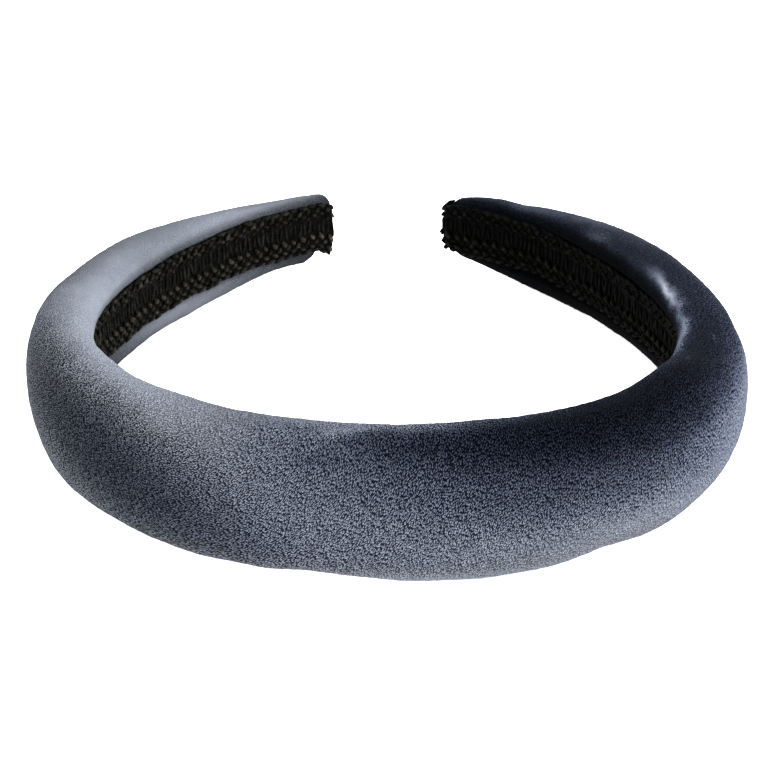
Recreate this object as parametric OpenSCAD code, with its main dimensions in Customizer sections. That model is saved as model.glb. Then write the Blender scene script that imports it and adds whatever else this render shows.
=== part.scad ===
// Wide padded headband in velvet, lying on its side edge, with a braid along its inside.
// The crown faces -Y, the two tips end at +Y, +Z is up from the surface that it lies on,
// and the origin is the middle of the underside of its own box.

/* [Plan of the inner face] */
// Radius of the arc at the crown
crown_radius = 69; // [66:0.5:72]
// Turn of that arc, from the middle to one side, in degrees
crown_turn = 43; // [40:0.5:45]
// Radius of the tighter arc at each side
side_radius = 47; // [45:0.5:50]
// Turn of each side arc, in degrees
side_turn = 65; // [62:0.5:68]
// Radius of the flat arc that leads to each tip
tip_radius = 112; // [105:1:120]
// Turn of each tip arc, in degrees
tip_turn = 40; // [36:0.5:41]

/* [Padded band] */
// Width of the band at its tips
tip_width = 14; // [13.5:0.5:16]
// Width of the band over the crown
crown_width = 33; // [28:0.5:36]
// Thickness of the padding at the tips
tip_thickness = 6; // [5:0.5:7]
// Thickness of the padding over the crown
crown_thickness = 14.5; // [12:0.5:17]
// Where the section is widest, as a share of the thickness from the inner face
belly = 0.48; // [0.4:0.01:0.6]
// Power of the outer dome, 2 for an ellipse and more for a boxier one
dome_power = 2.2; // [2:0.1:3]
// Power of the flatter inner face
inner_power = 3.2; // [2.4:0.1:4]
// Power of the two side edges
edge_power = 2.2; // [2:0.1:3]
// Length over which the padding rounds off before each tip
end_round = 2; // [1:0.5:3]

/* [Braid] */
// Width of the braid
braid_width = 12.7; // [11:0.1:13]
// Thickness of the braid at its corded edges
braid_thickness = 1.4; // [1:0.1:1.6]
// How much thinner the braid is between its corded edges
web_relief = 0.3; // [0:0.1:0.4]
// Width of each corded edge
cord_width = 1.5; // [1:0.1:2]
// Depth of the groove in the padding that takes the braid
seat_depth = 1.6; // [1:0.1:1.8]
// How far the braid lies above the middle of the band, away from the tips
braid_rise = 1.2; // [0:0.1:1.5]
// Width of the braid at its very ends, as a share of its full width
end_share = 0.82; // [0.82:0.01:1]
// Length over which it narrows towards each end
end_narrowing = 7; // [4:0.5:10]
// How far the braid stands past the padding at the left tip, where it is cut flat
bare_end = 1; // [0.5:0.1:2]
// Distance from the right end to the end of the flap that is turned over that tip
flap = 3.5; // [3:0.1:6]
// Thickness of the flat tongue of padding inside the turned end
tongue_thickness = 1.8; // [1.2:0.1:2.4]
// Width of that tongue, and of the padding's left end
tongue_width = 10; // [9:0.1:10.5]

/* [Fits] */
// Gap between the braid and the padding behind it
seat_gap = 0.2; // [0.1:0.05:0.3]
// Gap between the edges of the braid and the walls of its groove
side_gap = 0.35; // [0.2:0.05:0.5]
// Gap between the padding's right end and the end of the flap
flap_gap = 0.3; // [0.2:0.05:0.5]

/* [Hidden] */

// Sections at even steps along the band, from the left tip over the crown to the right tip.
// Width and thickness are shares of the way from the tip's value to the crown's, and the lift
// is how far the lower edge stays above the surface. The left and right sides differ a little,
// as soft padding does.
WIDTH = 0;
THICKNESS = 1;
LIFT = 2;
sections = [
    [0.00, 0.00, 1.8], // left tip
    [0.34, 0.41, 0.0],
    [0.58, 0.71, 0.0],
    [0.76, 0.82, 0.2],
    [0.97, 0.82, 0.3],
    [0.98, 0.94, 1.4],
    [1.00, 1.00, 1.2], // crown
    [1.00, 1.06, 0.0],
    [0.84, 1.12, 0.2],
    [0.58, 0.88, 0.3],
    [0.55, 0.65, 0.0],
    [0.37, 0.35, 0.0],
    [-0.03, 0.00, 1.8] // right tip
];

// Arcs of one half of the plan, from the crown to the tip
RADIUS = 0;
TURN = 1;
arcs = [[crown_radius, crown_turn], [side_radius, side_turn], [tip_radius, tip_turn]];

// Lengths along the inner face, from the middle of the crown
half_length = arc_length(arcs[0]) + arc_length(arcs[1]) + arc_length(arcs[2]);
function padding_end(side) = half_length - (side < 0 ? bare_end : flap + flap_gap);
function body_end(side) = padding_end(side) - end_round;
tongue_step = 0.2;

// The turned end of the braid goes round the tongue's end in a half circle
turn_centre_n = tongue_thickness / 2;
turn_radius = tongue_thickness / 2 + seat_gap + braid_thickness / 2;
turn_centre_s = half_length - turn_radius - braid_thickness / 2;

// Numbers of facets along the body, over the dome, on each lip and along the braid's cut end,
// and the angles between facets of the rounded end and of the turned end
body_steps = 40;
dome_steps = 14;
lip_steps = 6;
cut_end_steps = 4;
round_angle = 15;
turn_angle = 22.5;

// Half width of the braid's groove, the run of its side walls, the share of the band's half
// width that it may take, and how much wider the band is where the groove starts to deepen
// and where it has its full depth
seat_half = braid_width / 2 + side_gap;
seat_wall = 0.3;
seat_limit = 0.93;
seat_start = 1.2;
seat_fade = 2.5;

function arc_length(arc) = arc[RADIUS] * arc[TURN] * PI / 180;
function clamped(v, low, high) = min(max(v, low), high);
function reversed(v) = [for (i = [len(v) - 1:-1:0]) v[i]];

// Point and heading [x, y, heading] after an arc that starts at p
function along(p, radius, turn) = [
    p[0] + radius * (sin(p[2] + turn) - sin(p[2])),
    p[1] - radius * (cos(p[2] + turn) - cos(p[2])),
    p[2] + turn
];

// Point and heading at distance q from the middle of the crown, along the right half
function plan(q, i = 0, p = [0, 0, 0]) =
    i == len(arcs) - 1 || q <= arc_length(arcs[i])
        ? along(p, arcs[i][RADIUS], q / arcs[i][RADIUS] * 180 / PI)
        : plan(q - arc_length(arcs[i]), i + 1, along(p, arcs[i][RADIUS], arcs[i][TURN]));

// Point at distance s along the inner face, n outward from it, and height z
function place(s, n, z) =
    let (p = plan(abs(s)), side = s < 0 ? -1 : 1)
    [side * (p[0] + n * sin(p[2])), p[1] - n * cos(p[2]), z];

// Row i of one column, with the end rows carried on in a straight line
function row(column, i) =
    i < 0 ? 2 * sections[0][column] - sections[1][column]
    : i >= len(sections) ? 2 * sections[len(sections) - 1][column] - sections[len(sections) - 2][column]
    : sections[i][column];

// Smooth curve through a column, at distance s from the middle of the crown
function smooth(column, s) =
    let (
        u = clamped((s / half_length + 1) / 2, 0, 1) * (len(sections) - 1),
        i = min(floor(u), len(sections) - 2),
        t = u - i,
        a = row(column, i - 1),
        b = row(column, i),
        c = row(column, i + 1),
        d = row(column, i + 2)
    )
    (2 * b + (c - a) * t + (2 * a - 5 * b + 4 * c - d) * pow(t, 2)
        + (3 * b - a - 3 * c + d) * pow(t, 3)) / 2;

function width(s) = tip_width + (crown_width - tip_width) * smooth(WIDTH, s);
function thickness(s) = tip_thickness + (crown_thickness - tip_thickness) * smooth(THICKNESS, s);
function middle(s) = smooth(LIFT, s) + width(s) / 2;

// How far the braid is let into the padding, 0 at the tips and 1 where the band is wide
function let_in(s) = clamped((width(s) / 2 - seat_half - seat_start) / seat_fade, 0, 1);
function groove(s) = seat_depth * let_in(s);
function rise(s) = braid_rise * let_in(s);

// Points [n, z] round a section of width w and thickness t. The outer dome goes from the lower
// edge to the upper one, and the inner face comes back by two lips with the groove between them.
function section(w, t, depth, up) =
    let (
        upper = min(seat_half + up, seat_limit * w / 2),
        lower = min(seat_half - up, seat_limit * w / 2)
    )
    concat(
        [for (i = [0:dome_steps]) let (a = -90 + 180 * i / dome_steps)
            [belly * t + (1 - belly) * t * pow(cos(a), 2 / dome_power),
             sign(a) * w / 2 * pow(abs(sin(a)), 2 / edge_power)]],
        lip(w, t, upper, 1),
        [for (z = [upper - seat_wall, up, seat_wall - lower]) [max(inner_n(w, t, z), depth), z]],
        reversed(lip(w, t, lower, -1))
    );

// How far the inner face lies outward of the deepest line of the padding, at height z
function inner_n(w, t, z) =
    belly * t * (1 - pow(1 - pow(abs(2 * z / w), edge_power), 1 / inner_power));

// Points of one lip, from the band's edge to the groove's edge at height `edge`
function lip(w, t, edge, side) =
    let (last = asin(pow(2 * edge / w, edge_power / 2)))
    [for (i = [1:lip_steps])
        let (z = w / 2 * pow(sin(90 - (90 - last) * i / lip_steps), 2 / edge_power))
        [inner_n(w, t, z), side * z]];

// Stations [s, full] of one half of the padding, from the middle of the crown: full is 1 along
// the body, falls to 0 over the rounded end, and stays 0 along the right tip's tongue
function padding_stations(side) = concat(
    [for (i = [0:body_steps]) [side * body_end(side) * i / body_steps, 1]],
    [for (a = [round_angle:round_angle:90 - round_angle])
        [side * (body_end(side) + end_round * sin(a)), cos(a)]],
    side < 0 ? [] : [[padding_end(side) + tongue_step, 0], [turn_centre_s, 0]]
);

// One row of stations from the left tip to the right one, out of the two halves
function joined(left, right) = concat([for (i = [len(left) - 1:-1:1]) left[i]], right);
function between(a, b, share) = a + (b - a) * share;

padding_rings = [
    for (st = joined(padding_stations(-1), padding_stations(1)))
        let (
            s = st[0],
            w = between(tongue_width, width(s), st[1]),
            t = between(tongue_thickness, thickness(s), st[1])
        )
        [for (q = section(w, t, groove(s), rise(s))) place(s, q[0], middle(s) + q[1])]
];

// How much of its full width the braid has at distance s
function share(s) =
    1 - (1 - end_share) * pow(clamped((abs(s) - half_length) / end_narrowing + 1, 0, 1), 2);

// Stations [s, n, ds, dn, share] of one half of the braid: the middle of its thickness, the
// direction that its front looks in, and its share of the full width
function braid_stations(side) = concat(
    [for (i = [0:body_steps]) inner_run(side * body_end(side) * i / body_steps)],
    side < 0
        ? [for (i = [1:cut_end_steps])
            inner_run(-between(body_end(side), half_length, i / cut_end_steps))]
        : concat(
            [for (a = [-90:turn_angle:90])
                [turn_centre_s + turn_radius * cos(a), turn_centre_n + turn_radius * sin(a),
                 cos(a), sin(a), share(turn_centre_s + turn_radius * cos(min(a, 0)))]],
            [[half_length - flap, turn_centre_n + turn_radius, 0, 1, end_share]]
        )
);
function inner_run(s) = [s, groove(s) - seat_gap - braid_thickness / 2, 0, -1, share(s)];

// Points [z, depth] round the braid: a flat back, and a front with a corded edge each side
half_braid = braid_width / 2;
half_thick = braid_thickness / 2;
edge_chamfer = 0.35;
front_side = [
    [half_braid - edge_chamfer, -half_thick],
    [half_braid, 0],
    [half_braid - edge_chamfer, half_thick],
    [half_braid - cord_width + edge_chamfer, half_thick],
    [half_braid - cord_width, half_thick - web_relief]
];
braid_profile = concat(
    front_side,
    [for (q = reversed(front_side)) [-q[0], q[1]]]
);

braid_rings = [
    for (st = joined(braid_stations(-1), braid_stations(1)))
        [for (q = braid_profile)
            place(st[0] + st[2] * q[1], st[1] + st[3] * q[1],
                middle(st[0]) + rise(st[0]) + q[0] * st[4])]
];

// The middle of the whole box in plan, and its lowest point, which become the origin
all_points = [for (r = concat(padding_rings, braid_rings)) each r];
low = [for (k = [0:2]) min([for (p = all_points) p[k]])];
high = [for (k = [0:2]) max([for (p = all_points) p[k]])];
origin = [(low[0] + high[0]) / 2, (low[1] + high[1]) / 2, low[2]];

// Closed skin through a row of rings with the same number of points each, which all run
// clockwise as seen along the row
module skin(rings) {
    count = len(rings[0]);
    last = (len(rings) - 1) * count;
    sides = [for (i = [0:len(rings) - 2]) for (j = [0:count - 1])
        let (a = i * count + j, b = i * count + (j + 1) % count)
        each [[a, b, b + count], [a, b + count, a + count]]];
    ends = [[for (j = [count - 1:-1:0]) j], [for (j = [0:count - 1]) last + j]];
    polyhedron(points = [for (r = rings) each r], faces = concat(sides, ends), convexity = 6);
}

// Velvet-covered padding with its groove and its two tongues
module padded_band() {
    color([0.36, 0.39, 0.45])
        translate(-origin) skin(padding_rings);
}

// Braid that lines the inside and turns over both tips
module lining_braid() {
    color([0.06, 0.06, 0.055])
        translate(-origin) skin(braid_rings);
}

padded_band();
lining_braid();
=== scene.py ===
"""Wide velvet headband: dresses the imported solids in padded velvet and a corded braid."""
import math

import bpy
import numpy as np
from bpy.props import FloatProperty, FloatVectorProperty, IntProperty, PointerProperty
from mathutils import Matrix, Vector


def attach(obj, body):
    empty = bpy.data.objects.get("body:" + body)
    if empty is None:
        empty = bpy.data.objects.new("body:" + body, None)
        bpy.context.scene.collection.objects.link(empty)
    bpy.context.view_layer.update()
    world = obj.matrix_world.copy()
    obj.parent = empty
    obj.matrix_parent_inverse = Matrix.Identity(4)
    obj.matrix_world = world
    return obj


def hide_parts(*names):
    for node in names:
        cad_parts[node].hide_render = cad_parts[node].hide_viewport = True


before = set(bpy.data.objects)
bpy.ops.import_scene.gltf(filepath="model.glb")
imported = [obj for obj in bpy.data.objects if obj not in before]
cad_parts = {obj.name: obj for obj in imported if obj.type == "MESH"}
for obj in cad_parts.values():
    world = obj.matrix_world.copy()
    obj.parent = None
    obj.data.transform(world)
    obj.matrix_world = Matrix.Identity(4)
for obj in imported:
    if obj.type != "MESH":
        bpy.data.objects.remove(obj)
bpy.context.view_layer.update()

bl_info = {
    "name": "Wide velvet headband",
    "version": (1, 0, 0),
    "blender": (4, 5, 0),
    "location": "3D View > Sidebar > Headband",
    "description": "Dresses the solids of a wide padded headband in velvet and a corded braid",
    "category": "Object",
}

MM = 0.001

# Plan of the inner face, as the solids have it: radius in mm and turn in degrees of each arc
# from the middle of the crown to a tip, and the middle of the box that is the origin.
ARCS = ((69.0, 43.0), (47.0, 65.0), (112.0, 40.0))
ORIGIN = (0.328, 58.547, -0.145)
HALF = sum(radius * math.radians(turn) for radius, turn in ARCS)

# Width share, thickness share and lift in mm at even steps from the left tip to the right tip
SECTIONS = (
    (0.00, 0.00, 1.8), (0.34, 0.41, 0.0), (0.58, 0.71, 0.0), (0.76, 0.82, 0.2),
    (0.97, 0.82, 0.3), (0.98, 0.94, 1.4), (1.00, 1.00, 1.2), (1.00, 1.06, 0.0),
    (0.84, 1.12, 0.2), (0.58, 0.88, 0.3), (0.55, 0.65, 0.0), (0.37, 0.35, 0.0),
    (-0.03, 0.00, 1.8),
)
# The section in mm: its sizes at the tips and over the crown, how far up its thickness it is
# widest, the powers of its curves, and the tongue that the braid's end turns over
TIP_WIDTH, CROWN_WIDTH = 14.0, 33.0
TIP_THICKNESS, CROWN_THICKNESS = 6.0, 14.5
BELLY = 0.48
DOME_POWER, INNER_POWER, EDGE_POWER = 2.2, 3.2, 2.2
TONGUE_WIDTH, TONGUE_THICKNESS = 10.0, 1.8

# Where the padding departs from the even sections: middle and reach along the band, angle round
# it (0 outside, 90 upper edge, -90 lower edge, 150 the upper lip's inner edge) and its reach,
# and how far it moves outward and upward, in mm and degrees
SOFT_MOVES = (
    # shoulders: the lip rolls in over the braid, and the edge rises beside the crown
    (82, 38, 120, 60, -2.8, 0.0), (-88, 38, 120, 60, -3.0, 0.0),
    (60, 14, 90, 60, 0.0, 1.7), (-60, 16, 100, 60, -0.4, 0.6),
    # left side: fuller
    (-78, 20, 3, 40, 0.35, 0.0),
    # tips: thinner
    (183, 40, 0, 100, -2.2, 0.0), (-183, 40, 0, 100, -2.2, 0.0),
    # upper edge
    (-131, 30, 90, 70, 0.0, 0.35), (-108, 14, 90, 70, 0.0, -0.3),
    (-156, 22, 90, 70, 0.0, -0.2), (-42, 14, 90, 70, 0.0, 0.25),
    (31, 16, 90, 70, 0.0, -0.3), (128, 16, 90, 70, 0.0, 0.25), (159, 18, 90, 70, 0.0, -0.5),
    (172, 10, 90, 70, 0.0, 0.5), (168, 7, 90, 70, 0.0, 0.35), (179, 6, 90, 70, 0.0, -0.5),
    # lower edge
    (-182, 9, -90, 70, 0.0, -0.8), (-178, 12, -90, 70, 0.0, -0.8),
    (-142, 24, -90, 70, 0.0, -0.35), (-110, 8, -90, 70, 0.0, -0.4),
    (-57, 10, -90, 70, 0.0, 0.6), (-36, 14, -90, 70, 0.0, -0.45), (-11, 14, -90, 70, 0.0, 1.0),
    (14, 18, -90, 70, 0.0, -0.35), (39, 9, -90, 70, 0.0, 0.6), (52, 9, -90, 70, 0.0, -0.5),
    (63, 9, -90, 70, 0.0, 0.25), (110, 8, -90, 70, 0.0, -0.5), (157, 34, -90, 70, 0.0, -0.65),
)

# The braid in mm: its size, its groove's depth, the gaps behind and beside it, and how far it
# lies above the band's middle
BRAID_WIDTH, BRAID_THICKNESS = 12.7, 1.4
SEAT_DEPTH, SEAT_GAP, SIDE_GAP, BRAID_RISE = 1.6, 0.2, 0.35, 1.2
# How much the groove's floor is narrower on each side than its mouth, in mm, and the share of
# the band's half width that the groove takes at most
SEAT_WALL, SEAT_SHARE = 0.3, 0.93
# Width of lip beside the braid where the groove starts, and how much more makes it full depth
LIP_LEAST, LIP_RAMP = 1.2, 2.5
# Where the braid lies lower in the padding than in the solids: middle, reach and move in mm
BRAID_MOVES = ((-118, 62, -1.1), (118, 70, -2.1))
# How the braid lies at the tips, in mm: it rises towards them, and over its last END_REACH it
# changes in width, drops and has its corners worn back, on the left the lower one more
TIP_LIFT, TIP_LIFT_START, TIP_LIFT_REACH = 1.2, 138.0, 32.0
END_REACH = 7.0
LEFT_SHARE, RIGHT_SHARE = 1.12, 0.82
LEFT_DROP, RIGHT_DROP = 1.9, 0.2
LEFT_CORNERS, RIGHT_CORNER = (1.5, 0.3), 1.0
START_MARGIN, END_MARGIN = 0.05, 0.3
# How it turns over the right tip: length of the flap, and middle and radius of the turn
FLAP = 2.6
TURN_N = TONGUE_THICKNESS / 2
TURN_RADIUS = TONGUE_THICKNESS / 2 + SEAT_GAP + BRAID_THICKNESS / 2
TURN_S = HALF - TURN_RADIUS - BRAID_THICKNESS / 2
BRAID_LENGTH = HALF + TURN_S + math.pi * TURN_RADIUS + (TURN_S - (HALF - FLAP))


# The band's own coordinates


def inner_line(s):
    """Point and heading of the inner face at distance s from the middle of the crown."""
    q = np.abs(s)
    x, y, heading = np.zeros_like(q), np.zeros_like(q), np.zeros_like(q)
    x0 = y0 = turned = used = 0.0
    for radius, turn in ARCS:
        angle = turned + (q - used) / radius
        here = q >= used
        x = np.where(here, x0 + radius * (np.sin(angle) - math.sin(turned)), x)
        y = np.where(here, y0 - radius * (np.cos(angle) - math.cos(turned)), y)
        heading = np.where(here, angle, heading)
        end = turned + math.radians(turn)
        x0 += radius * (math.sin(end) - math.sin(turned))
        y0 -= radius * (math.cos(end) - math.cos(turned))
        used += radius * math.radians(turn)
        turned = end
    return x, y, heading


def place(s, n, z):
    """Points in metres at distance s along the inner face, n outward from it and height z."""
    x, y, heading = inner_line(s)
    side = np.where(s < 0, -1.0, 1.0)
    return np.stack([
        side * (x + n * np.sin(heading)) - ORIGIN[0],
        y - n * np.cos(heading) - ORIGIN[1],
        z - ORIGIN[2],
    ], -1) * MM


def smooth(column, s):
    """Smooth curve through one column of SECTIONS."""
    rows = np.array([section[column] for section in SECTIONS])
    rows = np.concatenate([[2 * rows[0] - rows[1]], rows, [2 * rows[-1] - rows[-2]]])
    u = np.clip((s / HALF + 1) / 2, 0, 1) * (len(SECTIONS) - 1)
    i = np.minimum(u.astype(int), len(SECTIONS) - 2)
    t = u - i
    a, b, c, d = rows[i], rows[i + 1], rows[i + 2], rows[i + 3]
    return (2 * b + (c - a) * t + (2 * a - 5 * b + 4 * c - d) * t**2
            + (3 * b - a - 3 * c + d) * t**3) / 2


def band_width(s):
    return TIP_WIDTH + (CROWN_WIDTH - TIP_WIDTH) * smooth(0, s)


def band_thickness(s):
    return TIP_THICKNESS + (CROWN_THICKNESS - TIP_THICKNESS) * smooth(1, s)


def band_middle(s):
    return smooth(2, s) + band_width(s) / 2


def bell(distance, reach):
    """Soft hump, 1 in its middle and 0 from its reach on."""
    share = np.clip(1 - np.abs(distance) / reach, 0, 1)
    return share * share * (3 - 2 * share)


def let_in(s):
    """How far the braid is let into the padding, from 0 at the tips to 1."""
    lip = band_width(s) / 2 - BRAID_WIDTH / 2 - SIDE_GAP
    return np.clip((lip - LIP_LEAST) / LIP_RAMP, 0, 1)


def braid_rise(s):
    """How far the middle of the braid lies above the middle of the band."""
    moves = sum(up * bell(s - middle, reach) for middle, reach, up in BRAID_MOVES)
    return BRAID_RISE * let_in(s) + moves


def inner_depth(w, t, z):
    """How far the inner face lies outward of the padding's deepest line, at height z."""
    across = np.clip(np.abs(2 * z / w), 0, 1)
    return BELLY * t * (1 - (1 - across**EDGE_POWER) ** (1 / INNER_POWER))


# Helpers for modelling


def deselect():
    if bpy.context.object and bpy.context.object.mode != "OBJECT":
        bpy.ops.object.mode_set(mode="OBJECT")
    bpy.ops.object.select_all(action="DESELECT")


def only(obj):
    """Selects one object alone and makes it the active one."""
    deselect()
    obj.select_set(True)
    bpy.context.view_layer.objects.active = obj


def points_of(obj):
    co = np.empty(len(obj.data.vertices) * 3, np.float32)
    obj.data.vertices.foreach_get("co", co)
    return co.reshape(-1, 3).astype(float)


def set_points(obj, co):
    obj.data.vertices.foreach_set("co", co.astype(np.float32).ravel())
    obj.data.update()


def new_primitive(name, add, **sizes):
    """A primitive at the origin, with its turn kept in the mesh."""
    deselect()
    add(location=(0, 0, 0), **sizes)
    obj = bpy.context.object
    obj.name = obj.data.name = name
    bpy.ops.object.transform_apply(location=True, rotation=True, scale=True)
    return obj


def select_points(obj, test):
    """Goes into edit mode with only the points selected that pass the test."""
    only(obj)
    bpy.ops.object.mode_set(mode="EDIT")
    bpy.ops.mesh.select_mode(type="VERT")
    bpy.ops.mesh.select_all(action="DESELECT")
    bpy.ops.object.mode_set(mode="OBJECT")
    for point in obj.data.vertices:
        point.select = test(point.co)
    bpy.ops.object.mode_set(mode="EDIT")


def divide_edges(obj, axis, *parts):
    """Divides the edges that run along an axis into equal parts, one factor after another."""
    for part in parts:
        only(obj)
        bpy.ops.object.mode_set(mode="EDIT")
        bpy.ops.mesh.select_mode(type="EDGE")
        bpy.ops.mesh.select_all(action="DESELECT")
        bpy.ops.object.mode_set(mode="OBJECT")
        points = obj.data.vertices
        for edge in obj.data.edges:
            a, b = (points[i].co[axis] for i in edge.vertices)
            edge.select = abs(a - b) > 1e-6
        bpy.ops.object.mode_set(mode="EDIT")
        bpy.ops.mesh.subdivide(number_cuts=part - 1)
    bpy.ops.object.mode_set(mode="OBJECT")


def apply_modifier(obj, modifier):
    only(obj)
    bpy.ops.object.modifier_apply(modifier=modifier.name)


def own_copy(obj, name):
    """A copy of a piece with its own mesh."""
    copy = obj.copy()
    copy.data = obj.data.copy()
    copy.name = copy.data.name = name
    bpy.context.scene.collection.objects.link(copy)
    return copy


def finish_piece(obj, material):
    """Outward faces, smooth shading and one material, with the place kept in the mesh."""
    only(obj)
    bpy.ops.object.transform_apply(location=True, rotation=True, scale=True)
    bpy.ops.object.mode_set(mode="EDIT")
    bpy.ops.mesh.select_all(action="SELECT")
    bpy.ops.mesh.normals_make_consistent(inside=False)
    bpy.ops.object.mode_set(mode="OBJECT")
    bpy.ops.object.shade_smooth()
    obj.data.materials.clear()
    obj.data.materials.append(bpy.data.materials[material])


# Settings


class HeadbandVelvet(bpy.types.PropertyGroup):
    """Sizes and colours of the velvet"""

    pile: FloatVectorProperty(
        name="Pile", description="Colour of the pile's lit tips", default=(0.23, 0.258, 0.302),
        subtype="COLOR", min=0, max=1)
    ground: FloatVectorProperty(
        name="Ground", description="Colour between the tufts", default=(0.0045, 0.0055, 0.009),
        subtype="COLOR", min=0, max=1)
    tuft_length: FloatProperty(
        name="Tuft length", description="Length of one mark of the pile's grain",
        default=0.0006, subtype="DISTANCE", unit="LENGTH", min=0.0002, max=0.003, precision=5)
    tuft_width: FloatProperty(
        name="Tuft width", description="Width of one mark of the pile's grain",
        default=0.0002, subtype="DISTANCE", unit="LENGTH", min=0.0001, max=0.003, precision=5)
    swell: FloatProperty(
        name="Swell", description="Most that the padding may swell in the cloth simulation",
        default=0.0003, subtype="DISTANCE", unit="LENGTH", min=0, max=0.002, precision=5)


class HeadbandBraid(bpy.types.PropertyGroup):
    """Sizes and colours of the braid"""

    cord: FloatVectorProperty(
        name="Cord", description="Colour of the cords", default=(0.028, 0.0272, 0.0212),
        subtype="COLOR", min=0, max=1)
    # The web's colour is painted shade, the dark between the cords; the web behind them is all in it
    web: FloatVectorProperty(
        name="Web", description="Colour of the ground between the cords",
        default=(0.0018, 0.0017, 0.0015), subtype="COLOR", min=0, max=1)
    stitches: IntProperty(
        name="Stitches", description="Number of repeats along the braid", default=143,
        min=100, max=180)


class HeadbandStage(bpy.types.PropertyGroup):
    """Camera, floor and light"""

    floor: FloatVectorProperty(
        name="Floor", description="Colour of the floor", default=(0.93, 0.93, 0.93),
        subtype="COLOR", min=0, max=1)
    glow: FloatProperty(
        name="Floor glow", description="Light of the floor itself, as of a light table", default=0.7,
        min=0, max=2)
    sky: FloatProperty(
        name="Sky", description="Strength of the even light from all round", default=2.1,
        min=0, max=5)
    key: FloatProperty(
        name="Key light", description="Power of the large lamp on the right",
        default=22.0, subtype="POWER", unit="POWER", min=0, max=200)
    distance: FloatProperty(
        name="Camera distance", description="From the camera to the middle of the headband",
        default=0.6, subtype="DISTANCE", unit="LENGTH", min=0.2, max=3)
    elevation: FloatProperty(
        name="Camera elevation", description="Height of the camera above the horizon",
        default=math.radians(30.17), subtype="ANGLE", unit="ROTATION", min=0, max=1.5)


# Helpers for shaders


def group_tree(name, inputs, outputs):
    """A new shader group with the sockets given as (name, socket type, default)."""
    tree = bpy.data.node_groups.new(name, "ShaderNodeTree")
    for sockets, side in ((inputs, "INPUT"), (outputs, "OUTPUT")):
        for socket in sockets:
            made = tree.interface.new_socket(name=socket[0], in_out=side, socket_type=socket[1])
            if len(socket) > 2:
                made.default_value = socket[2]
    given = tree.nodes.new("NodeGroupInput").outputs
    return tree, given, tree.nodes.new("NodeGroupOutput").inputs


def new_material(name, finish):
    """A material with its constants set on the shader's own sockets."""
    material = bpy.data.materials.new(name)
    material.use_nodes = True
    shader = material.node_tree.nodes["Principled BSDF"]
    for socket, value in finish.items():
        shader.inputs[socket].default_value = value
    return material, material.node_tree, shader.inputs


def node(tree, kind, links=None, **values):
    """One node with its properties set; links maps an input to a socket or a value."""
    made = tree.nodes.new(kind)
    for key, value in values.items():
        setattr(made, key, value)
    for key, value in (links or {}).items():
        if isinstance(value, bpy.types.NodeSocket):
            tree.links.new(value, made.inputs[key])
        else:
            made.inputs[key].default_value = value
    return made


def maths(tree, operation, *values, clamp=False):
    """Result of a Math node."""
    return node(tree, "ShaderNodeMath", dict(enumerate(values)), operation=operation,
                use_clamp=clamp).outputs[0]


def vector_maths(tree, operation, first, *others):
    """Result of a Vector Math node, a number for LENGTH."""
    keys = ("Scale",) if operation == "SCALE" else (1, 2)
    made = node(tree, "ShaderNodeVectorMath", {0: first, **dict(zip(keys, others))},
                operation=operation)
    return made.outputs["Value" if operation == "LENGTH" else "Vector"]


def ramp(tree, value, ends, eased=False):
    """Value carried over by (from low, from high, to low, to high), straight or eased."""
    sockets = ("From Min", "From Max", "To Min", "To Max")
    return node(tree, "ShaderNodeMapRange", {"Value": value, **dict(zip(sockets, ends))},
                interpolation_type="SMOOTHSTEP" if eased else "LINEAR").outputs[0]


def colour_mix(tree, factor, low, high):
    """Colour between two, low at factor 0 and high at 1."""
    made = node(tree, "ShaderNodeMix", {"Factor": factor}, data_type="RGBA")
    sockets = {socket.identifier: socket for socket in made.inputs}
    sockets["A_Color"].default_value = (*low, 1.0)
    sockets["B_Color"].default_value = (*high, 1.0)
    return next(socket for socket in made.outputs if socket.identifier == "Result_Color")


# Shader groups

# Ramps of the grain: how full a tuft is by the distance from its middle, its brightness by its
# own chance, and that of its streak by noise
GRAIN_RAMPS = {
    "body": (0.58, 0.0, 0.0, 1.0),
    "bright": (0.1, 1.0, 0.55, 1.1),
    "gather": (0.35, 0.65, 0.82, 1.18),
}
# How far noise bends the rows of tufts, in tufts, and a tuft's share of a streak's length and width
GRAIN_BEND, STREAK_SHARES = (0.25, 0.25, 0.0), (0.26, 0.74, 1.0)
PATCH_FADE = (1.0, 0.0, 0.0, 1.0)


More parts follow.
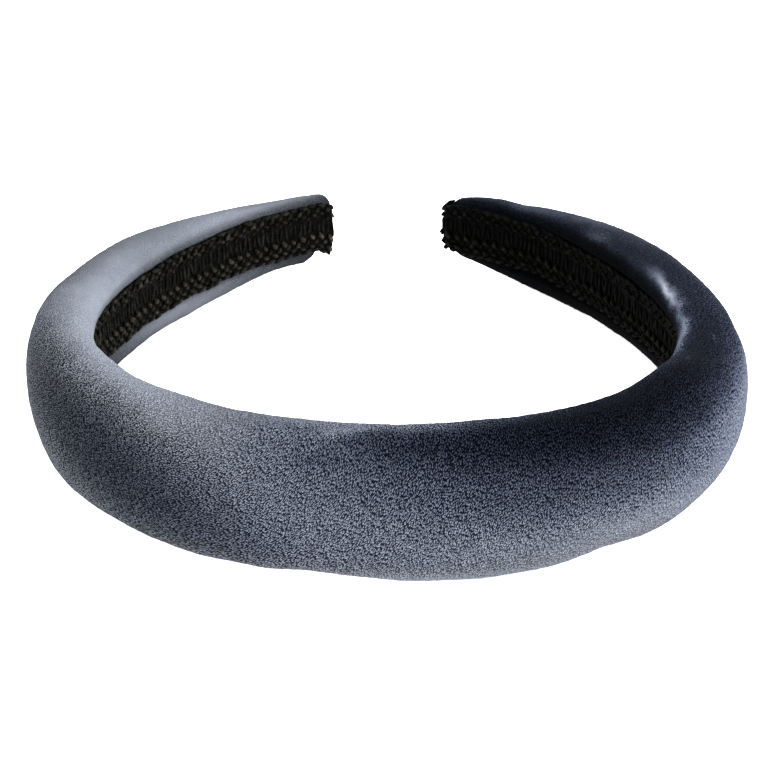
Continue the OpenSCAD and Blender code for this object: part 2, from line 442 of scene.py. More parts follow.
def fibre_grain():
    """Group: leaning tufts of fibre, each of its own brightness, gathered in longer streaks."""
    tree, given, out = group_tree(
        "Fibre grain",
        [("Vector", "NodeSocketVector"), ("Turn", "NodeSocketFloat", 0.0),
         ("Length", "NodeSocketFloat", 0.0005), ("Width", "NodeSocketFloat", 0.0003)],
        [("Mask", "NodeSocketFloat"), ("Height", "NodeSocketFloat")])
    turned = node(tree, "ShaderNodeVectorRotate", {"Vector": given["Vector"], "Angle": given["Turn"]},
                  rotation_type="Z_AXIS").outputs[0]
    size = node(tree, "ShaderNodeCombineXYZ", {"X": given["Length"], "Y": given["Width"], "Z": 1.0})
    scaled = vector_maths(tree, "DIVIDE", turned, size.outputs[0])
    bend = node(tree, "ShaderNodeTexNoise", {"Vector": scaled, "Scale": 0.8, "Detail": 1.0},
                noise_dimensions="2D")
    bent = vector_maths(tree, "MULTIPLY_ADD", bend.outputs["Color"], GRAIN_BEND, scaled)
    tufts = node(tree, "ShaderNodeTexVoronoi", {"Vector": bent, "Scale": 1.0},
                 voronoi_dimensions="2D").outputs
    body = ramp(tree, tufts["Distance"], GRAIN_RAMPS["body"], eased=True)
    chance = node(tree, "ShaderNodeSeparateColor", {0: tufts["Color"]}).outputs[0]
    bright = ramp(tree, chance, GRAIN_RAMPS["bright"])
    drawn = vector_maths(tree, "MULTIPLY", scaled, STREAK_SHARES)
    streaks = node(tree, "ShaderNodeTexNoise", {"Vector": drawn, "Scale": 1.0, "Detail": 0.0},
                   noise_dimensions="2D")
    gather = ramp(tree, streaks.outputs["Fac"], GRAIN_RAMPS["gather"])
    tuft = maths(tree, "MULTIPLY", body, bright)
    tree.links.new(maths(tree, "MULTIPLY", tuft, gather), out["Mask"])
    tree.links.new(body, out["Height"])
    return tree


def painted_light_oval():
    """Group: soft oval mask for painted light and shade, 1 in its middle and 0 at its edge."""
    tree, given, out = group_tree(
        "Painted light oval",
        [("Vector", "NodeSocketVector"), ("Centre", "NodeSocketVector"),
         ("Turn", "NodeSocketFloat", 0.0), ("Size", "NodeSocketVector")],
        [("Mask", "NodeSocketFloat")])
    moved = vector_maths(tree, "SUBTRACT", given["Vector"], given["Centre"])
    turned = node(tree, "ShaderNodeVectorRotate", {"Vector": moved, "Angle": given["Turn"]},
                  rotation_type="Z_AXIS").outputs[0]
    length = vector_maths(tree, "LENGTH", vector_maths(tree, "DIVIDE", turned, given["Size"]))
    tree.links.new(ramp(tree, length, PATCH_FADE, eased=True), out["Mask"])
    return tree


# Velvet

# Painted light and shade of the velvet, laid into its colour as soft ovals: middle along the band
# and round it from the outside of the padding, half length and half height, turn in degrees, above
# 0 where the oval rises to the right, and painted light in stops
PAINTED_LIGHT_PATCHES = (
    # left: painted light on the upper side and on the lip under the braid, and a painted dark oval
    # towards the crown
    (-92, 26, 82, 17, 0, 1.1),
    (-75, 23, 26, 7, 0, 0.2),
    (-48, 18, 50, 12, -3, 0.7),
    (-112, 13, 34, 8, 0, -0.4),
    (-52, 2, 52, 19, -22, -2.0),
    (-158, 16, 34, 9, 8, 0.9),
    (-137, -21, 48, 9, -14, 1.8),
    # crown: painted shade on the upper right, painted light on the lower half and both edges
    (46, 17, 62, 13, -2, -3.1),
    (28, 12, 66, 22, -8, -1.9),
    (52, -8, 56, 14, 2, 0.65),
    (0, -18, 80, 8, 0, 1.2),
    (10, 2, 92, 30, 0, -0.22),
    (6, 22, 42, 5, 0, 1.4),
    (-7, 18.8, 8, 2.4, 12, 1.1),
    (3, 15.5, 18, 4.5, 0, -0.5),
    (-11, 12, 6, 3, 0, -0.5),
    # right shoulder: painted shade, with painted highlight streaks where the lip turns in
    (70, 22, 46, 9, 0, -1.9),
    (92, 16, 34, 10, -4, -1.8),
    (118, 17, 30, 8, 0, -1.8),
    (72, 4, 26, 13, 0, 0.7),
    (107.5, 20.3, 13, 2.6, -4, 3.1),
    (83, 23.6, 27, 2.0, -7, 2.5),
    (80.5, 17.1, 3.5, 0.9, 20, 1.6),
    (66, 21, 4, 0.9, 10, 1.2),
    (137, 18.4, 8, 2.4, -5, 1.5),
    # right arm: painted shade, blackest beside the braid
    (112, 27, 44, 7, -6, -6.5),
    (146, 20, 30, 6, -10, -2.6),
    (168, 13, 20, 5, -17, -0.8),
    (154, 16, 54, 10, -9, -1.5),
    (126, -25, 50, 11, 8, -5.0),
    (128, -24, 36, 6, 10, -3.5),
    (156, -20, 40, 9, 15, -3.5),
    (168, -17.5, 26, 6, 22, -3.0),
    # outer sides towards the tips: painted shade, with lighter painted strokes
    (146, 1, 52, 11, 4, -1.5),
    (118, -8, 26, 10, 12, -0.7),
    (160, -3, 14, 4, -20, 0.7),
    (-128, -4, 44, 11, -5, -1.0),
    (-166, 1, 22, 9, 8, -0.6),
    (-116, 4, 18, 5, 14, 0.5),
    (-150, -6, 14, 4, -16, 0.5),
)
# Ramps of the velvet, with what each reads: along and around are the nap's UV in m, light is the
# painted light and shade and hue its tint, both in stops
VELVET_RAMPS = {
    "lean": (-0.06, 0.005, -math.radians(8), -math.radians(68)),  # along: turn of the grain
    "blotch": (0.3, 0.7, 0.22, 0.38),  # noise: light to start from
    # painted shade beside the braid, in stops
    "braid_shade_stops": (-0.02, 0.02, -1.4, -2.2),  # along: light beside the braid
    "sides": (0.07, 0.12, 0.0, 0.75),  # distance from the crown: calm
    "laid": (0.0, 1.4, 0.0, 0.5),  # light: calm
    "steep": (-3.0, 0.5, 3.0, 1.0),  # light: power of the grain
    "regain": (-3.0, 0.5, 3.5, 1.0),  # light: what makes up for that power
    "grey": (-0.09, -0.02, 2.6, 0.0),  # along: greyer on the left
    "rim": (-0.021, -0.009, 2.2, 0.0),  # around: greyer on the lower rim
    "deep": (0.01, 0.04, -1.0, 0.0),  # distance from BLUEST: bluer
    "warm": (-4.0, 1.0, 0.0, 1.0),  # hue: from DARK_TINT to LIGHT_TINT
}
# Places along the band in m: the point that the grain turns about, and the bluest one
GRAIN_MIDDLE, BLUEST = -0.02, 0.085
# How far the painted light patches' edges wander, in m, and the mask of a grain that is all even
WANDER, EVEN_MASK = 0.0045, 0.275
# Tints of the colour where the painted light is dark and where it is bright
DARK_TINT, LIGHT_TINT = (0.80, 0.96, 1.42), (1.03, 1.0, 0.985)
VELVET_FINISH = {
    "Roughness": 0.95, "Specular IOR Level": 0.01, "Sheen Weight": 0.007,
    "Sheen Roughness": 0.45, "Sheen Tint": (0.72, 0.75, 0.80, 1.0),
}


def painted_light_stops(tree, patch, uv, along):
    """Painted light and shade of the velvet in stops: random blotches, painted light patches and
    painted shade beside the braid.
    """
    blotch = node(tree, "ShaderNodeTexNoise", {"Vector": uv, "Scale": 260.0, "Detail": 2.0})
    stops = ramp(tree, blotch.outputs["Fac"], VELVET_RAMPS["blotch"])

    # the painted patches' edges wander with noise, as the edges of brush strokes do
    noise = node(tree, "ShaderNodeTexNoise", {
        "Vector": uv, "Scale": 130.0, "Detail": 4.0, "Roughness": 0.62})
    shift = vector_maths(tree, "SUBTRACT", noise.outputs["Color"], (0.5, 0.5, 0.5))
    field = vector_maths(tree, "ADD", uv, vector_maths(tree, "SCALE", shift, WANDER))
    flat = vector_maths(tree, "MULTIPLY", field, (1.0, 1.0, 0.0))
    for middle, height, half_length, half_height, turn, light in PAINTED_LIGHT_PATCHES:
        spot = node(tree, "ShaderNodeGroup", {
            "Vector": flat, "Centre": (middle * MM, height * MM, 0.0), "Turn": -math.radians(turn),
            "Size": (half_length * MM, half_height * MM, 1.0)}, node_tree=patch)
        stops = maths(tree, "MULTIPLY_ADD", spot.outputs[0], light, stops)
    # painted shade beside the braid, from the mark laid in the mesh
    braid_shade = node(tree, "ShaderNodeAttribute", attribute_name="braid_shade", attribute_type="GEOMETRY")
    shade = ramp(tree, along, VELVET_RAMPS["braid_shade_stops"])
    return maths(tree, "MULTIPLY_ADD", braid_shade.outputs["Fac"], shade, stops)


def velvet_material(settings, grain, patch):
    tree, shader = new_material("Slate velvet", VELVET_FINISH)[1:]
    uv = node(tree, "ShaderNodeUVMap", uv_map="nap").outputs[0]
    along, around = node(tree, "ShaderNodeSeparateXYZ", {0: uv}).outputs[:2]

    # the pile leans flatter on the left side than over the crown
    marks = node(tree, "ShaderNodeGroup", {
        "Vector": vector_maths(tree, "SUBTRACT", uv, (GRAIN_MIDDLE, 0.0, 0.0)),
        "Turn": ramp(tree, along, VELVET_RAMPS["lean"], eased=True),
        "Length": settings.tuft_length, "Width": settings.tuft_width}, node_tree=grain).outputs
    stops = painted_light_stops(tree, patch, uv, along)

    # the pile lies closer at the sides and where the painted light is bright, so its tufts differ
    # less
    sides = ramp(tree, maths(tree, "ABSOLUTE", along), VELVET_RAMPS["sides"], eased=True)
    laid = ramp(tree, stops, VELVET_RAMPS["laid"])
    calm = maths(tree, "ADD", sides, laid, clamp=True)
    even = node(tree, "ShaderNodeMix", {"Factor": calm, 2: marks["Mask"], 3: EVEN_MASK}).outputs[0]

    # where the painted shade is deep only the highest tufts stay bright, and the painted shade is
    # tinted bluer
    picked = maths(tree, "POWER", even, ramp(tree, stops, VELVET_RAMPS["steep"]))
    tips = maths(tree, "MULTIPLY", picked, ramp(tree, stops, VELVET_RAMPS["regain"]))
    aside = maths(tree, "ABSOLUTE", maths(tree, "SUBTRACT", along, BLUEST))
    hue = stops
    for value, name in ((along, "grey"), (around, "rim"), (aside, "deep")):
        hue = maths(tree, "ADD", hue, ramp(tree, value, VELVET_RAMPS[name]))
    tint = colour_mix(tree, ramp(tree, hue, VELVET_RAMPS["warm"]), DARK_TINT, LIGHT_TINT)
    colour = colour_mix(tree, tips, settings.ground, settings.pile)
    tinted = vector_maths(tree, "MULTIPLY", colour, tint)
    # the painted light and shade scale the colour, in stops
    lit = vector_maths(tree, "SCALE", tinted, maths(tree, "POWER", 2.0, stops))
    bump = node(tree, "ShaderNodeBump", {
        "Height": marks["Height"], "Strength": 0.85, "Distance": 0.0002})
    tree.links.new(lit, shader["Base Color"])
    tree.links.new(bump.outputs[0], shader["Normal"])


# Lines and rings of the padding: points over the dome, down each lip and across the groove, and
# rings rounded at both ends
DOME_STEPS, LIP_STEPS, FLOOR_POINTS = 36, 9, 9
AROUND = DOME_STEPS + 1 + 2 * LIP_STEPS + FLOOR_POINTS
UPPER_LIP = DOME_STEPS + LIP_STEPS
LOWER_LIP = UPPER_LIP + FLOOR_POINTS + 1
GROOVE_MIDDLE = UPPER_LIP + 1 + FLOOR_POINTS // 2
END_ANGLES = np.radians([15, 30, 45, 60, 75, 90])
RING_CUTS = (99, 3)
BODY_RINGS = math.prod(RING_CUTS) - 2 * len(END_ANGLES)
# Angle round the padding of each point of a ring, in degrees; 180 is the groove of the braid
RING_ANGLES = np.concatenate([
    np.linspace(-90, 90, DOME_STEPS + 1), np.linspace(90, 150, LIP_STEPS + 1)[1:],
    np.full(FLOOR_POINTS, 180.0), np.linspace(-90, -150, LIP_STEPS + 1)[:0:-1]])

# How far the padding stops short of the inner line's ends, and the rounding of its ends, in mm
LEFT_END, RIGHT_END, ROUNDING = 1.2, 3.8, 2.2
# How far each end of the padding is cut on the slant: at its middle, more at its upper edge, and
# over what length, in mm towards the tip
LEFT_SLANT, RIGHT_SLANT, SLANT_LENGTH = (-1.1, 2.9), (1.0, 1.0), 16.0
# How far from the braid the painted shade reaches on each side of the crown, in mm
BRAID_SHADE_LEFT, BRAID_SHADE_RIGHT = 2.6, 3.6

# Size in m of the straight tube that the padding is bent from
ROUGH_RADIUS, ROUGH_LENGTH = 0.01, 0.1
CLOTH_FRAMES = 20
CLOTH = {
    "quality": 5, "mass": 0.00002, "tension_stiffness": 5, "compression_stiffness": 5,
    "shear_stiffness": 2, "bending_stiffness": 0.1, "use_pressure": True,
    "uniform_pressure_force": 4, "vertex_group_mass": "held", "pin_stiffness": 1,
}
# Soft noise of the finished cover: size and height in m, and level
LUMPS, TUFTS = (0.013, 0.0005, 0.7), (0.0011, 0.00022, 0.5)


def ring_stations():
    """Distance and fullness of each ring, from the left tip to the right one."""
    start, stop = -(HALF - LEFT_END - ROUNDING), HALF - RIGHT_END - ROUNDING
    left = [(start - ROUNDING * math.sin(a), math.cos(a)) for a in END_ANGLES[::-1]]
    body = [(s, 1.0) for s in np.linspace(start, stop, BODY_RINGS)]
    right = [(stop + ROUNDING * math.sin(a), math.cos(a)) for a in END_ANGLES]
    tongue = [(TURN_S, 0.0)]
    return np.array(left + body + right + tongue).T


def band_sections(s, full):
    """Outward and upward place of each point round each ring, as two arrays."""
    w = TONGUE_WIDTH + (band_width(s) - TONGUE_WIDTH) * full
    t = TONGUE_THICKNESS + (band_thickness(s) - TONGUE_THICKNESS) * full
    depth, up = SEAT_DEPTH * let_in(s), braid_rise(s)
    seat = BRAID_WIDTH / 2 + SIDE_GAP
    a = np.radians(np.linspace(-90, 90, DOME_STEPS + 1))
    rows = []
    for wi, ti, di, ui in zip(w, t, depth, up):
        dome_n = BELLY * ti + (1 - BELLY) * ti * np.maximum(np.cos(a), 0) ** (2 / DOME_POWER)
        dome_z = np.sign(a) * wi / 2 * np.abs(np.sin(a)) ** (2 / EDGE_POWER)
        most = SEAT_SHARE * wi / 2
        upper, lower = min(seat + ui, most), min(seat - ui, most)
        lips = []
        for edge, side in ((upper, 1), (lower, -1)):
            last = math.asin((2 * edge / wi) ** (EDGE_POWER / 2))
            b = math.pi / 2 - (math.pi / 2 - last) * np.arange(1, LIP_STEPS + 1) / LIP_STEPS
            z = wi / 2 * np.sin(b) ** (2 / EDGE_POWER)
            lips.append((inner_depth(wi, ti, z), side * z))
        floor_z = np.linspace(upper - SEAT_WALL, SEAT_WALL - lower, FLOOR_POINTS)
        floor_n = np.maximum(inner_depth(wi, ti, floor_z), di)
        rows.append((
            np.concatenate([dome_n, lips[0][0], floor_n, lips[1][0][::-1]]),
            np.concatenate([dome_z, lips[0][1], floor_z, lips[1][1][::-1]])))
    n, z = np.array([r[0] for r in rows]), np.array([r[1] for r in rows])
    for middle, reach, angle, spread, out, up in SOFT_MOVES:
        share = bell(s - middle, reach)[:, None] * bell(RING_ANGLES - angle, spread)
        n += out * share
        z += up * share
    return n, z


def slanted_stations(s, z, w):
    """Distance along the band of each point of each ring, with the ends cut on the slant."""
    high = np.clip(2 * z / w[:, None], -1, 1)
    near = bell(np.maximum(HALF - np.abs(s), 0), SLANT_LENGTH)[:, None]
    left, right = (slant[0] + slant[1] * high for slant in (LEFT_SLANT, RIGHT_SLANT))
    return s[:, None] + near * np.where(s[:, None] < 0, -left, right)


def mark_nap(band, stations, n, z, ring, turn, pole):
    """Lays the nap's UV map, and marks the painted shade beside the braid by how near each point lies
    to it.
    """
    around = np.cumsum(np.hypot(np.diff(n, axis=1), np.diff(z, axis=1)), axis=1)
    around = np.pad(around, ((0, 0), (1, 0)))
    around -= around[:, [DOME_STEPS // 2]]
    closing = np.hypot(n[:, 0] - n[:, -1], z[:, 0] - z[:, -1])

    # distance along the band and round it both ways from the outside to the groove's middle
    nap = band.data.uv_layers.active or band.data.uv_layers.new()
    nap.name = "nap"
    uv = np.zeros((len(band.data.loops), 2))
    for face in band.data.polygons:
        corners = list(face.vertices)
        past = any(turn[v] > GROOVE_MIDDLE for v in corners if not pole[v])
        for loop, v in zip(face.loop_indices, corners):
            r, k = ring[v], turn[v]
            value = 0.0 if pole[v] else around[r, k]
            if not pole[v] and (k > GROOVE_MIDDLE or (k == GROOVE_MIDDLE and past)):
                value += around[r, 0] - around[r, -1] - closing[r]
            uv[loop] = stations[r] * MM, value * MM
    nap.data.foreach_set("uv", uv.ravel())

    # painted shade beside the braid, in the groove and on the lower lip
    up_way = np.maximum(around[:, [UPPER_LIP]] - around, 0)
    down_way = around - around[:, [0]] + closing[:, None] + around[:, [-1]] - around[:, [LOWER_LIP]]
    reach = np.where(stations < 0, BRAID_SHADE_LEFT, BRAID_SHADE_RIGHT)[:, None]
    braid_shade = bell(np.minimum(up_way, down_way), reach)
    near = band.data.attributes.new("braid_shade", "FLOAT", "POINT")
    near.data.foreach_set("value", np.where(pole, 0, braid_shade[ring, turn]).astype(np.float32))


def swell_as_cloth(obj, held, most):
    """Lets the padding swell as pressed cloth, and caps how far a point moves."""
    before = points_of(obj)
    group = obj.vertex_groups.new(name="held")
    group.add([int(i) for i in np.flatnonzero(held)], 1.0, "REPLACE")
    modifier = obj.modifiers.new("Swell", "CLOTH")
    for setting, value in CLOTH.items():
        setattr(modifier.settings, setting, value)
    modifier.settings.effector_weights.gravity = 0
    scene = bpy.context.scene
    modifier.point_cache.frame_start, modifier.point_cache.frame_end = 1, CLOTH_FRAMES
    for step in range(1, CLOTH_FRAMES + 1):
        scene.frame_set(step)
    apply_modifier(obj, modifier)
    scene.frame_set(1)
    moved = points_of(obj) - before
    reach = np.linalg.norm(moved, axis=1)
    moved *= np.minimum(1, most / np.maximum(reach, 1e-9))[:, None]
    set_points(obj, before + moved)
    obj.vertex_groups.clear()


def roughen(obj, name, size, height, level):
    """Moves the surface in and out by soft noise.

    The padding's faces still point inward here, so a level above 0.5 swells it all over.
    """
    clouds = bpy.data.textures.new(name, "CLOUDS")
    clouds.noise_scale = size
    clouds.noise_depth = 1
    modifier = obj.modifiers.new(name, "DISPLACE")
    modifier.texture = clouds
    modifier.texture_coords = "LOCAL"
    modifier.strength = height
    modifier.mid_level = level
    apply_modifier(obj, modifier)


class HEADBAND_OT_velvet_band(bpy.types.Operator):
    """Models the padding with its velvet cover"""

    bl_idname = "headband.velvet_band"
    bl_label = "Velvet band"

    def execute(self, context):
        stations, full = ring_stations()
        band = new_primitive(
            "velvet_band", bpy.ops.mesh.primitive_cylinder_add, vertices=AROUND,
            radius=ROUGH_RADIUS, depth=ROUGH_LENGTH, end_fill_type="TRIFAN",
            rotation=(0, math.pi / 2, 0))
        divide_edges(band, 0, *RING_CUTS)

        # each point of the straight tube goes to its ring and to its place round the ring
        straight = points_of(band)
        ring = np.rint((straight[:, 0] / ROUGH_LENGTH + 0.5) * (len(stations) - 1)).astype(int)
        angle = np.arctan2(straight[:, 2], straight[:, 1])
        turn = np.rint(angle / (2 * math.pi) * AROUND).astype(int) % AROUND
        pole = np.hypot(straight[:, 1], straight[:, 2]) < ROUGH_RADIUS / 2
        n, z = band_sections(stations, full)
        middle = band_middle(stations)
        along = slanted_stations(stations, z, band_width(stations))
        along[-1] = TURN_S
        co = place(along[ring, turn], n[ring, turn], middle[ring] + z[ring, turn])
        for end in np.flatnonzero(pole):
            r = ring[[end]]
            co[end] = place(along[r].mean(1), n[r].mean(1), middle[r])[0]
        set_points(band, co)
        mark_nap(band, stations, n, z, ring, turn, pole)

        held = pole | (full[ring] < 1) | ((turn >= UPPER_LIP) & (turn <= LOWER_LIP + 1))
        swell_as_cloth(band, held, context.scene.headband_velvet.swell)

        modifier = band.modifiers.new("Smooth cover", "SUBSURF")
        modifier.levels = modifier.render_levels = 1
        modifier.uv_smooth = "PRESERVE_BOUNDARIES"
        apply_modifier(band, modifier)
        roughen(band, "Padding lumps", *LUMPS)
        roughen(band, "Pile tufts", *TUFTS)
        finish_piece(band, "Slate velvet")
        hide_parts("padded_band")
        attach(band, "root")
        return {"FINISHED"}


# Braid

# Ramps of the braid's colour, with what each reads
BRAID_RAMPS = {
    "tone": (0.0, 0.8, 0.45, 1.9),  # grain: share of the colour
    "dyed": (0.35, 0.65, 0.5, 1.6),  # noise: share of the colour
    # painted shade along the right arm
    "side": ((HALF - 30) * MM, (HALF + 60) * MM, 1.0, 0.22),  # along: darker on the right arm
    # painted shade in the gaps between the cords, brightening to the cords' tops
    "crest": (-0.0002, 0.001, 0.0, 1.0),  # out of the braid: from gap to cord
}
CREST_POWER = 2.2
CORD_FIBRES = {"Turn": math.radians(-25), "Length": 0.0009, "Width": 0.00016}
BRAID_FINISH = {"Roughness": 0.55, "Specular IOR Level": 0.012}

# One repeat of the braid: kind, place along (share of the pitch), height across and depth of
# its middle in mm, length, width and thickness in mm, and turn in degrees
STITCH = (
    ("knot", 0.25, 5.70, 0.06, 3.1, 1.15, 1.2, 14),
    ("knot", 0.75, 4.60, 0.20, 2.1, 1.2, 1.15, -34),
    ("knot", 0.25, 3.55, 0.10, 1.9, 1.0, 1.1, 32),
    ("knot", 0.70, 2.70, 0.02, 1.5, 0.8, 0.9, -25),
    ("leg", 0.20, 0.45, -0.12, 4.3, 0.70, 0.95, 82),
    ("leg", 0.72, 0.45, -0.12, 4.3, 0.70, 0.95, 97),
    ("knot", 0.46, -2.00, 0.42, 2.0, 1.35, 1.15, 72),
    ("knot", 0.95, -3.30, 0.14, 2.0, 1.15, 1.1, -32),
    ("knot", 0.45, -4.50, 0.20, 2.1, 1.2, 1.15, 34),
    ("knot", 0.95, -5.70, 0.06, 3.1, 1.15, 1.2, -14),
)
# Ends of a cord that is 1 unit long: where they begin, what share of the cord's thickness they
# have, how far they bend back into the band, and how far a knot's two ends lie up and down
KNOT_END, KNOT_TAPER, KNOT_BACK, KNOT_BEND = 0.2, 0.8, 0.12, 0.10
LEG_END, LEG_TAPER, LEG_BACK = 0.45, 0.7, 0.25
# Spread and limits of what each cord gets of its own: size, turn in radians, and place in mm
SIZE_SPREAD, SIZE_LEAST, SIZE_MOST = 0.09, 0.8, 1.2
TURN_SPREAD, TURN_LIMIT = 0.10, 0.22
PLACE_SPREAD, PLACE_LIMIT = (0.12, 0.07, 0.10), 0.25
# Waves of the rows: height in mm, mm along the braid for a radian, and start in radians
ROW_WAVES = ((0.12, 3.1, 0.0), (0.10, 7.3, 1.0))
# The web behind the cords, in mm: how far from the braid's ends, the depth of its back, its
# thickness, and how much narrower than the braid it is; and its parts along and across
WEB_MARGIN, WEB_DEPTH, WEB_THICKNESS, WEB_INSET = 0.3, -0.68, 0.62, 1.1
WEB_PARTS_ALONG, WEB_PARTS_ACROSS = (50, 12), 10
WEB_CREASE = math.radians(40)


def braid_material(name, colour, gap, grain):
    """Dyed cord with painted shade between the cords and along the right arm; "lay" is along, across
    and out of the straight braid.
    """
    tree, shader = new_material(name, BRAID_FINISH)[1:]
    lay = node(tree, "ShaderNodeAttribute", attribute_name="lay",
               attribute_type="GEOMETRY").outputs["Vector"]
    along, _, out = node(tree, "ShaderNodeSeparateXYZ", {0: lay}).outputs
    fibres = node(tree, "ShaderNodeGroup", {"Vector": lay, **CORD_FIBRES}, node_tree=grain).outputs
    patchy = node(tree, "ShaderNodeTexNoise", {"Vector": lay, "Scale": 420.0, "Detail": 1.0})
    tone = ramp(tree, fibres["Mask"], BRAID_RAMPS["tone"])
    dyed = ramp(tree, patchy.outputs["Fac"], BRAID_RAMPS["dyed"])
    # painted shade: darker along the right arm, and darker the deeper a point lies between the cords
    side = ramp(tree, along, BRAID_RAMPS["side"], eased=True)
    crest = maths(tree, "POWER", ramp(tree, out, BRAID_RAMPS["crest"]), CREST_POWER)
    share = maths(tree, "MULTIPLY", maths(tree, "MULTIPLY", tone, dyed), side)
    tinted = vector_maths(tree, "SCALE", colour_mix(tree, crest, gap, colour), share)
    bump = node(tree, "ShaderNodeBump", {
        "Height": fibres["Height"], "Strength": 0.5, "Distance": 0.00012})
    tree.links.new(tinted, shader["Base Color"])
    tree.links.new(bump.outputs[0], shader["Normal"])


def lay_on_band(along, depth, across):
    """Takes points of the straight braid, in mm, to the inside of the band and over its tip."""
    inner = HALF + TURN_S
    along = np.clip(along, START_MARGIN, BRAID_LENGTH - END_MARGIN)
    a = np.clip((along - inner) / TURN_RADIUS, 0, math.pi) - math.pi / 2
    s_turn, n_turn = TURN_S + TURN_RADIUS * np.cos(a), TURN_N + TURN_RADIUS * np.sin(a)
    past = np.maximum(along - inner - math.pi * TURN_RADIUS, 0)
    s_inner = along - HALF
    n_inner = SEAT_DEPTH * let_in(s_inner) - SEAT_GAP - BRAID_THICKNESS / 2
    on_inner = along <= inner
    s = np.where(on_inner, s_inner, s_turn - past)
    n = np.where(on_inner, n_inner, n_turn)
    ds = np.where(on_inner, 0.0, np.cos(a))
    dn = np.where(on_inner, -1.0, np.sin(a))

    # the rise towards the tips, and what happens to the last few mm at each end
    fade = np.clip((np.abs(s) - HALF) / END_REACH + 1, 0, 1) ** 2
    share = 1 - (1 - np.where(s < 0, LEFT_SHARE, RIGHT_SHARE)) * fade
    lift_end = TIP_LIFT_START + TIP_LIFT_REACH
    lift = TIP_LIFT * bell(lift_end - np.minimum(np.abs(s), lift_end), TIP_LIFT_REACH)
    lift -= np.where(s < 0, LEFT_DROP, RIGHT_DROP) * fade
    height = band_middle(s) + braid_rise(s) + lift + across * share
    corner = np.abs(across / (BRAID_WIDTH / 2)) ** 3 * fade
    s = s + corner * np.where(s < 0, np.where(across < 0, *LEFT_CORNERS), -RIGHT_CORNER)
    return place(s + ds * depth, n + dn * depth, height)


def keep_lay(obj, along, depth, across):
    """Lays a piece of the braid on the band, and keeps its place on the straight braid."""
    lay = obj.data.attributes.new("lay", "FLOAT_VECTOR", "POINT")
    lay.data.foreach_set(
        "vector", (np.stack([along, across, depth], -1) * MM).astype(np.float32).ravel())
    set_points(obj, lay_on_band(along, depth, across))


def model_knot():
    """A short, bent piece of cord with rounded ends, 1 unit in each direction."""
    knot = new_primitive(
        "cord_knot", bpy.ops.mesh.primitive_uv_sphere_add, segments=8, ring_count=6, radius=0.5,
        rotation=(0, math.pi / 2, 0))
    for side in (1, -1):
        select_points(knot, lambda co: co.x * side > KNOT_END)
        bpy.ops.transform.resize(value=(1.0, KNOT_TAPER, KNOT_TAPER))
        bpy.ops.transform.translate(value=(0, KNOT_BACK, -side * KNOT_BEND))
        bpy.ops.object.mode_set(mode="OBJECT")
    return knot


def model_leg():
    """A straight piece of cord, thicker in its middle, 1 unit in each direction."""
    leg = new_primitive(
        "cord_leg", bpy.ops.mesh.primitive_cylinder_add, vertices=7, radius=0.5, depth=1.0,
        end_fill_type="TRIFAN", rotation=(0, math.pi / 2, 0))
    divide_edges(leg, 0, 4)
    select_points(leg, lambda co: abs(co.x) > LEG_END)
    bpy.ops.transform.resize(value=(1.0, LEG_TAPER, LEG_TAPER), center_override=(0, 0, 0))
    bpy.ops.transform.translate(value=(0, LEG_BACK, 0))
    bpy.ops.object.mode_set(mode="OBJECT")
    return leg


def model_stitches(pitch, stitches):
    """The straight braid's cords as one piece, and the number of points of each cord."""
    kinds = {"knot": model_knot(), "leg": model_leg()}
    cell = []
    for i, (kind, along, across, depth, length, width, thick, turn) in enumerate(STITCH):
        cord = own_copy(kinds[kind], f"cord_{i}")
        cord.scale = (length, thick, width)
        cord.rotation_euler = (0, -math.radians(turn), 0)
        cord.location = (along * pitch, -depth, across)
        cell.append(cord)
    for kind in kinds.values():
        bpy.data.objects.remove(kind)
    sizes = [len(cord.data.vertices) for cord in cell]
    deselect()
    for cord in cell:
        cord.select_set(True)
    bpy.context.view_layer.objects.active = cell[0]
    bpy.ops.object.transform_apply(location=True, rotation=True, scale=True)
    bpy.ops.object.join()
    cords = bpy.context.object
    cords.name = cords.data.name = "braid_cords"
    repeat = cords.modifiers.new("Stitches", "ARRAY")
    repeat.count = stitches
    repeat.use_relative_offset = False
    repeat.use_constant_offset = True
    repeat.constant_offset_displace = (pitch, 0, 0)
    apply_modifier(cords, repeat)
    return cords, sizes


def loosen(straight, sizes, stitches):
    """Gives each cord a little size, turn and place of its own, and lets the rows wander."""
    chance = np.random.default_rng(11)
    count = stitches * len(sizes)
    each = np.repeat(np.arange(count), np.tile(sizes, stitches))
    weight = np.bincount(each)
    middle = np.stack([np.bincount(each, column) / weight for column in straight.T], -1)
    size = np.clip(chance.normal(1, SIZE_SPREAD, (count, 1)), SIZE_LEAST, SIZE_MOST)
    turn = np.clip(chance.normal(0, TURN_SPREAD, count), -TURN_LIMIT, TURN_LIMIT)[each]
    x, y, z = ((straight - middle[each]) * size[each]).T
    off = np.stack([x * np.cos(turn) - z * np.sin(turn), y, x * np.sin(turn) + z * np.cos(turn)], -1)
    jitter = chance.normal(0, 1, (count, 3)) * PLACE_SPREAD
    loose = middle[each] + off + np.clip(jitter, -PLACE_LIMIT, PLACE_LIMIT)[each]
    for height, length, start in ROW_WAVES:
        loose[:, 2] += height * np.sin(loose[:, 0] / length + start)
    return loose


